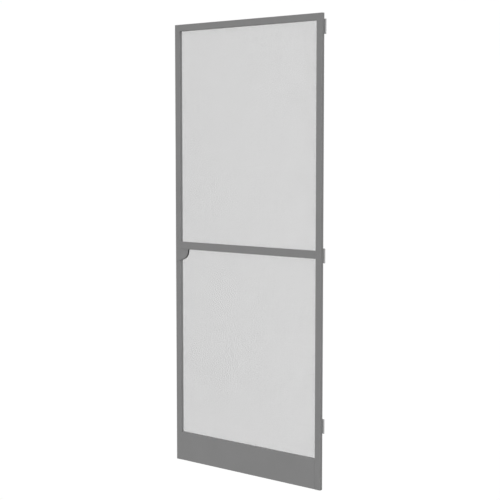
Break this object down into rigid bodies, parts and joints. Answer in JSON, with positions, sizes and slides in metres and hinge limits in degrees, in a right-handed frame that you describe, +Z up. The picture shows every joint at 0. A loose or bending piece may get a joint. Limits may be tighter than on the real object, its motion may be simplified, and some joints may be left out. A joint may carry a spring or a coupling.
{
  "type": "screen door",
  "caption": "Tall hinged insect-screen door leaf in grey aluminium, two mesh panels, middle rail with corner grip, solid kick panel, butt hinges.",
  "frame": {"origin": "on the flat back face of the middle hinge's jamb leaf, midway between its two screw holes", "axes": "+Z up; +X from the latch side to the hinge side; +Y from the door's front to its back, into the fixed frame"},
  "size_m": [0.8891, 0.023, 2.1],
  "materials": {
    "frame_coat": "matte powder-coated mid grey over extruded aluminium",
    "grip_plastic": "finely textured moulded plastic, mid grey like the frame",
    "grip_body_plastic": "finely textured moulded plastic, dark grey",
    "insert_plastic": "black glass-filled plastic, hidden inside the profiles",
    "cap_plastic": "dark grey moulded plastic",
    "mesh_cloth": "light grey woven coated-fibreglass insect mesh",
    "bead_rubber": "dark grey foamed spline cord",
    "hinge_coat": "powder-coated light grey steel",
    "pin_steel": "zinc-plated steel",
    "magnet_rubber": "dark flexible magnetic strip"
  },
  "bodies": {
    "jamb_side": {"top_jamb_hinge_leaf": "hinge_coat", "middle_jamb_hinge_leaf": "hinge_coat", "bottom_jamb_hinge_leaf": "hinge_coat", "top_hinge_pin": "pin_steel", "middle_hinge_pin": "pin_steel", "bottom_hinge_pin": "pin_steel"},
    "door_leaf": {"latch_stile": "frame_coat", "hinge_stile": "frame_coat", "top_rail": "frame_coat", "mid_rail": "frame_coat", "kick_panel": "frame_coat", "latch_corner_key": "insert_plastic", "hinge_corner_key": "insert_plastic", "mid_latch_connector": "insert_plastic", "mid_hinge_connector": "insert_plastic", "kick_latch_connector": "insert_plastic", "kick_hinge_connector": "insert_plastic", "latch_stile_cap": "cap_plastic", "hinge_stile_cap": "cap_plastic", "upper_mesh": "mesh_cloth", "lower_mesh": "mesh_cloth", "upper_latch_bead": "bead_rubber", "upper_hinge_bead": "bead_rubber", "upper_low_bead": "bead_rubber", "upper_high_bead": "bead_rubber", "lower_latch_bead": "bead_rubber", "lower_hinge_bead": "bead_rubber", "lower_low_bead": "bead_rubber", "lower_high_bead": "bead_rubber", "top_stile_hinge_leaf": "hinge_coat", "middle_stile_hinge_leaf": "hinge_coat", "bottom_stile_hinge_leaf": "hinge_coat", "front_grip": "grip_plastic", "grip_body": "grip_body_plastic", "back_grip": "grip_body_plastic", "magnet_strip": "magnet_rubber"}
  },
  "joints": [
    {"name": "leaf_swing", "type": "hinge", "parent": "jamb_side", "child": "door_leaf", "pos_m": [0.017, -0.0042, 0], "axis": [0, 0, 1], "range_deg": [0, 105]}
  ]
}
